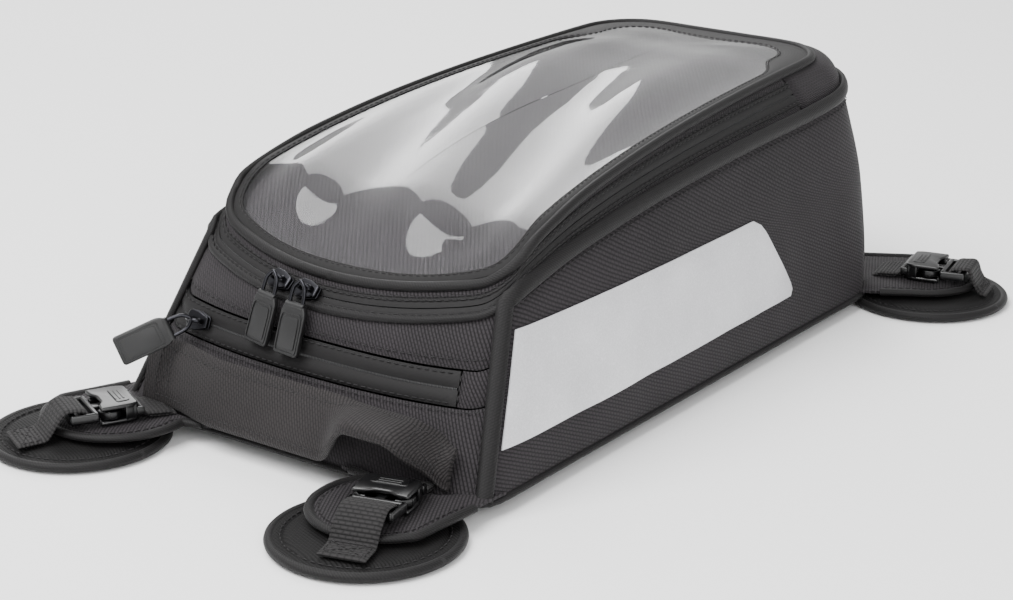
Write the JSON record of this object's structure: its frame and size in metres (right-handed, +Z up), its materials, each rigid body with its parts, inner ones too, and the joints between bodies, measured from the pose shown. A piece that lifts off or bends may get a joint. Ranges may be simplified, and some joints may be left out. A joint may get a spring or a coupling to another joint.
{
  "type": "tank bag",
  "caption": "Zipped tank bag with a window lid, front pocket, grab handle and round magnet discs on flaps with side-release buckles",
  "frame": {"origin": "on the surface the bag lies on, under the middle of its overall box", "axes": "+Y to the handlebar end, +X to the rider's right, +Z up"},
  "size_m": [0.254, 0.4066, 0.1124],
  "materials": {
    "ribbed_nylon": "matte black ribbed weave",
    "plain_nylon": "matte black plain weave",
    "disc_cover": "matte black twill with a bound edge",
    "webbing": "black ribbed woven webbing",
    "zip_tape": "smooth black coated zip tape",
    "piping": "smooth black bound piping",
    "buckle_plastic": "glossy black",
    "pull_rubber": "satin black, moulded",
    "dark_metal": "dark plated metal",
    "clear_film": "clear glossy plastic film",
    "reflective_silver": "silver-grey reflective sheet",
    "base_rubber": "matte black, non-slip"
  },
  "bodies": {
    "bag": {"base_panel": "plain_nylon", "base_pad": "base_rubber", "side_panel_left": "ribbed_nylon", "side_panel_right": "ribbed_nylon", "bar_end_panel": "ribbed_nylon", "rider_panel_lower": "ribbed_nylon", "rider_panel_upper": "ribbed_nylon", "pocket_zip_tape": "zip_tape", "pocket_zip_end": "ribbed_nylon", "zip_gusset_body": "ribbed_nylon", "zip_tape_body": "zip_tape", "bar_end_gusset": "ribbed_nylon", "seam_piping": "piping", "reflective_left": "reflective_silver", "reflective_right": "reflective_silver"},
    "lid": {"zip_tape_lid": "zip_tape", "lid_gusset": "ribbed_nylon", "lid_border": "ribbed_nylon", "lid_piping": "piping", "window_film": "clear_film", "map_pocket_floor": "plain_nylon"},
    "handle": {"handle_band": "webbing"},
    "main_slider_1": {"main_slider_1": "dark_metal"},
    "main_pull_1": {"main_pull_1": "pull_rubber"},
    "main_slider_2": {"main_slider_2": "dark_metal"},
    "main_pull_2": {"main_pull_2": "pull_rubber"},
    "pocket_slider": {"pocket_slider": "dark_metal"},
    "pocket_pull": {"pocket_pull": "pull_rubber"},
    "flap_near_right": {"flap_near_right": "ribbed_nylon", "flap_strap_near_right": "webbing", "buckle_female_near_right": "buckle_plastic"},
    "clip_near_right": {"buckle_male_near_right": "buckle_plastic"},
    "arm_a_near_right": {"buckle_arm_a_near_right": "buckle_plastic"},
    "arm_b_near_right": {"buckle_arm_b_near_right": "buckle_plastic"},
    "magnet_near_right": {"disc_strap_near_right": "webbing", "disc_near_right": "disc_cover"},
    "flap_near_left": {"flap_near_left": "ribbed_nylon", "flap_strap_near_left": "webbing", "buckle_female_near_left": "buckle_plastic"},
    "clip_near_left": {"buckle_male_near_left": "buckle_plastic"},
    "arm_a_near_left": {"buckle_arm_a_near_left": "buckle_plastic"},
    "arm_b_near_left": {"buckle_arm_b_near_left": "buckle_plastic"},
    "magnet_near_left": {"disc_strap_near_left": "webbing", "disc_near_left": "disc_cover"},
    "flap_far_right": {"flap_far_right": "ribbed_nylon", "flap_strap_far_right": "webbing", "buckle_female_far_right": "buckle_plastic"},
    "clip_far_right": {"buckle_male_far_right": "buckle_plastic"},
    "arm_a_far_right": {"buckle_arm_a_far_right": "buckle_plastic"},
    "arm_b_far_right": {"buckle_arm_b_far_right": "buckle_plastic"},
    "magnet_far_right": {"disc_strap_far_right": "webbing", "disc_far_right": "disc_cover"},
    "flap_far_left": {"flap_far_left": "ribbed_nylon", "flap_strap_far_left": "webbing", "buckle_female_far_left": "buckle_plastic"},
    "clip_far_left": {"buckle_male_far_left": "buckle_plastic"},
    "arm_a_far_left": {"buckle_arm_a_far_left": "buckle_plastic"},
    "arm_b_far_left": {"buckle_arm_b_far_left": "buckle_plastic"},
    "magnet_far_left": {"disc_strap_far_left": "webbing", "disc_far_left": "disc_cover"}
  },
  "joints": [
    {"name": "lid_hinge", "type": "hinge", "parent": "bag", "child": "lid", "pos_m": [0, 0.14525, 0.10829], "axis": [-1, 0, 0], "range_deg": [0, 100]},
    {"name": "handle_swing", "type": "hinge", "parent": "bag", "child": "handle", "pos_m": [0, -0.14025, 0.0096], "axis": [1, 0, 0], "range_deg": [0, 5]},
    {"name": "main_zip_travel_1", "type": "hinge", "parent": "lid", "child": "main_slider_1", "pos_m": [0, 0.01304, 0.13048], "axis": [0, -0.4848, 0.8746], "range_deg": [-6, 0]},
    {"name": "main_pull_swing_1", "type": "hinge", "parent": "main_slider_1", "child": "main_pull_1", "pos_m": [-0.02084, -0.11983, 0.06427], "axis": [-0.9903, 0.1217, 0.0675], "range_deg": [0, 110]},
    {"name": "main_zip_travel_2", "type": "hinge", "parent": "lid", "child": "main_slider_2", "pos_m": [0, 0.01304, 0.13048], "axis": [0, -0.4848, 0.8746], "range_deg": [0, 21]},
    {"name": "main_pull_swing_2", "type": "hinge", "parent": "main_slider_2", "child": "main_pull_2", "pos_m": [-0.00679, -0.12097, 0.06364], "axis": [-0.999, 0.0397, 0.022], "range_deg": [0, 110]},
    {"name": "pocket_zip_travel", "type": "hinge", "parent": "bag", "child": "pocket_slider", "pos_m": [0, 0.23664, 0.03831], "axis": [0, 0, 1], "range_deg": [0, 3.3]},
    {"name": "pocket_pull_swing", "type": "hinge", "parent": "pocket_slider", "child": "pocket_pull", "pos_m": [-0.05522, -0.12848, 0.04161], "axis": [-0.3426, -0.1862, 0.9208], "range_deg": [-8, 60]},
    {"name": "flap_hinge_near_right", "type": "hinge", "parent": "bag", "child": "flap_near_right", "pos_m": [0.058, -0.13925, 0.0073], "axis": [-1, 0, 0], "range_deg": [0, 13]},
    {"name": "clip_release_near_right", "type": "slide", "parent": "flap_near_right", "child": "clip_near_right", "axis": [0.2756, -0.9613, 0], "range_m": [0, 0.03]},
    {"name": "arm_a_squeeze_near_right", "type": "hinge", "parent": "clip_near_right", "child": "arm_a_near_right", "pos_m": [0.07075, -0.16184, 0.0126], "axis": [0, 0, 1], "range_deg": [0, 5], "stiffness_Nm_per_rad": 0.02},
    {"name": "arm_b_squeeze_near_right", "type": "hinge", "parent": "clip_near_right", "child": "arm_b_near_right", "pos_m": [0.05883, -0.16525, 0.0126], "axis": [0, 0, 1], "range_deg": [-5, 0], "stiffness_Nm_per_rad": 0.02},
    {"name": "disc_tilt_near_right", "type": "hinge", "parent": "clip_near_right", "child": "magnet_near_right", "pos_m": [0.06737, -0.17253, 0.0141], "axis": [-0.9613, -0.2756, 0], "range_deg": [0, 5]},
    {"name": "flap_hinge_near_left", "type": "hinge", "parent": "bag", "child": "flap_near_left", "pos_m": [-0.062, -0.13925, 0.0073], "axis": [-1, 0, 0], "range_deg": [0, 11]},
    {"name": "clip_release_near_left", "type": "slide", "parent": "flap_near_left", "child": "clip_near_left", "axis": [-0.454, -0.891, 0], "range_m": [0, 0.03]},
    {"name": "arm_a_squeeze_near_left", "type": "hinge", "parent": "clip_near_left", "child": "arm_a_near_left", "pos_m": [-0.06767, -0.16483, 0.0126], "axis": [0, 0, 1], "range_deg": [0, 5], "stiffness_Nm_per_rad": 0.02},
    {"name": "arm_b_squeeze_near_left", "type": "hinge", "parent": "clip_near_left", "child": "arm_b_near_left", "pos_m": [-0.07871, -0.1592, 0.0126], "axis": [0, 0, 1], "range_deg": [-5, 0], "stiffness_Nm_per_rad": 0.02},
    {"name": "disc_tilt_near_left", "type": "hinge", "parent": "clip_near_left", "child": "magnet_near_left", "pos_m": [-0.07744, -0.17034, 0.0141], "axis": [-0.891, 0.454, 0], "range_deg": [0, 5]},
    {"name": "flap_hinge_far_right", "type": "hinge", "parent": "bag", "child": "flap_far_right", "pos_m": [0.06892, 0.15567, 0.0073], "axis": [0.7071, -0.7071, 0], "range_deg": [0, 25]},
    {"name": "clip_release_far_right", "type": "slide", "parent": "flap_far_right", "child": "clip_far_right", "axis": [0.9703, 0.2419, 0], "range_m": [0, 0.03]},
    {"name": "arm_a_squeeze_far_right", "type": "hinge", "parent": "clip_far_right", "child": "arm_a_far_right", "pos_m": [0.09592, 0.18023, 0.0126], "axis": [0, 0, 1], "range_deg": [0, 5], "stiffness_Nm_per_rad": 0.02},
    {"name": "arm_b_squeeze_far_right", "type": "hinge", "parent": "clip_far_right", "child": "arm_b_far_right", "pos_m": [0.09892, 0.1682, 0.0126], "axis": [0, 0, 1], "range_deg": [-5, 0], "stiffness_Nm_per_rad": 0.02},
    {"name": "disc_tilt_far_right", "type": "hinge", "parent": "clip_far_right", "child": "magnet_far_right", "pos_m": [0.10649, 0.17647, 0.0141], "axis": [0.2419, -0.9703, 0], "range_deg": [0, 5]},
    {"name": "flap_hinge_far_left", "type": "hinge", "parent": "bag", "child": "flap_far_left", "pos_m": [-0.06892, 0.15567, 0.0073], "axis": [0.7071, 0.7071, 0], "range_deg": [0, 25]},
    {"name": "clip_release_far_left", "type": "slide", "parent": "flap_far_left", "child": "clip_far_left", "axis": [-0.9703, 0.2419, 0], "range_m": [0, 0.03]},
    {"name": "arm_a_squeeze_far_left", "type": "hinge", "parent": "clip_far_left", "child": "arm_a_far_left", "pos_m": [-0.09892, 0.1682, 0.0126], "axis": [0, 0, 1], "range_deg": [0, 5], "stiffness_Nm_per_rad": 0.02},
    {"name": "arm_b_squeeze_far_left", "type": "hinge", "parent": "clip_far_left", "child": "arm_b_far_left", "pos_m": [-0.09592, 0.18023, 0.0126], "axis": [0, 0, 1], "range_deg": [-5, 0], "stiffness_Nm_per_rad": 0.02},
    {"name": "disc_tilt_far_left", "type": "hinge", "parent": "clip_far_left", "child": "magnet_far_left", "pos_m": [-0.10649, 0.17647, 0.0141], "axis": [0.2419, 0.9703, 0], "range_deg": [0, 5]}
  ],
  "couplings": [
    {"joint": "arm_b_squeeze_near_right", "follows": "arm_a_squeeze_near_right", "ratio": -1},
    {"joint": "arm_b_squeeze_near_left", "follows": "arm_a_squeeze_near_left", "ratio": -1},
    {"joint": "arm_b_squeeze_far_right", "follows": "arm_a_squeeze_far_right", "ratio": -1},
    {"joint": "arm_b_squeeze_far_left", "follows": "arm_a_squeeze_far_left", "ratio": -1}
  ]
}
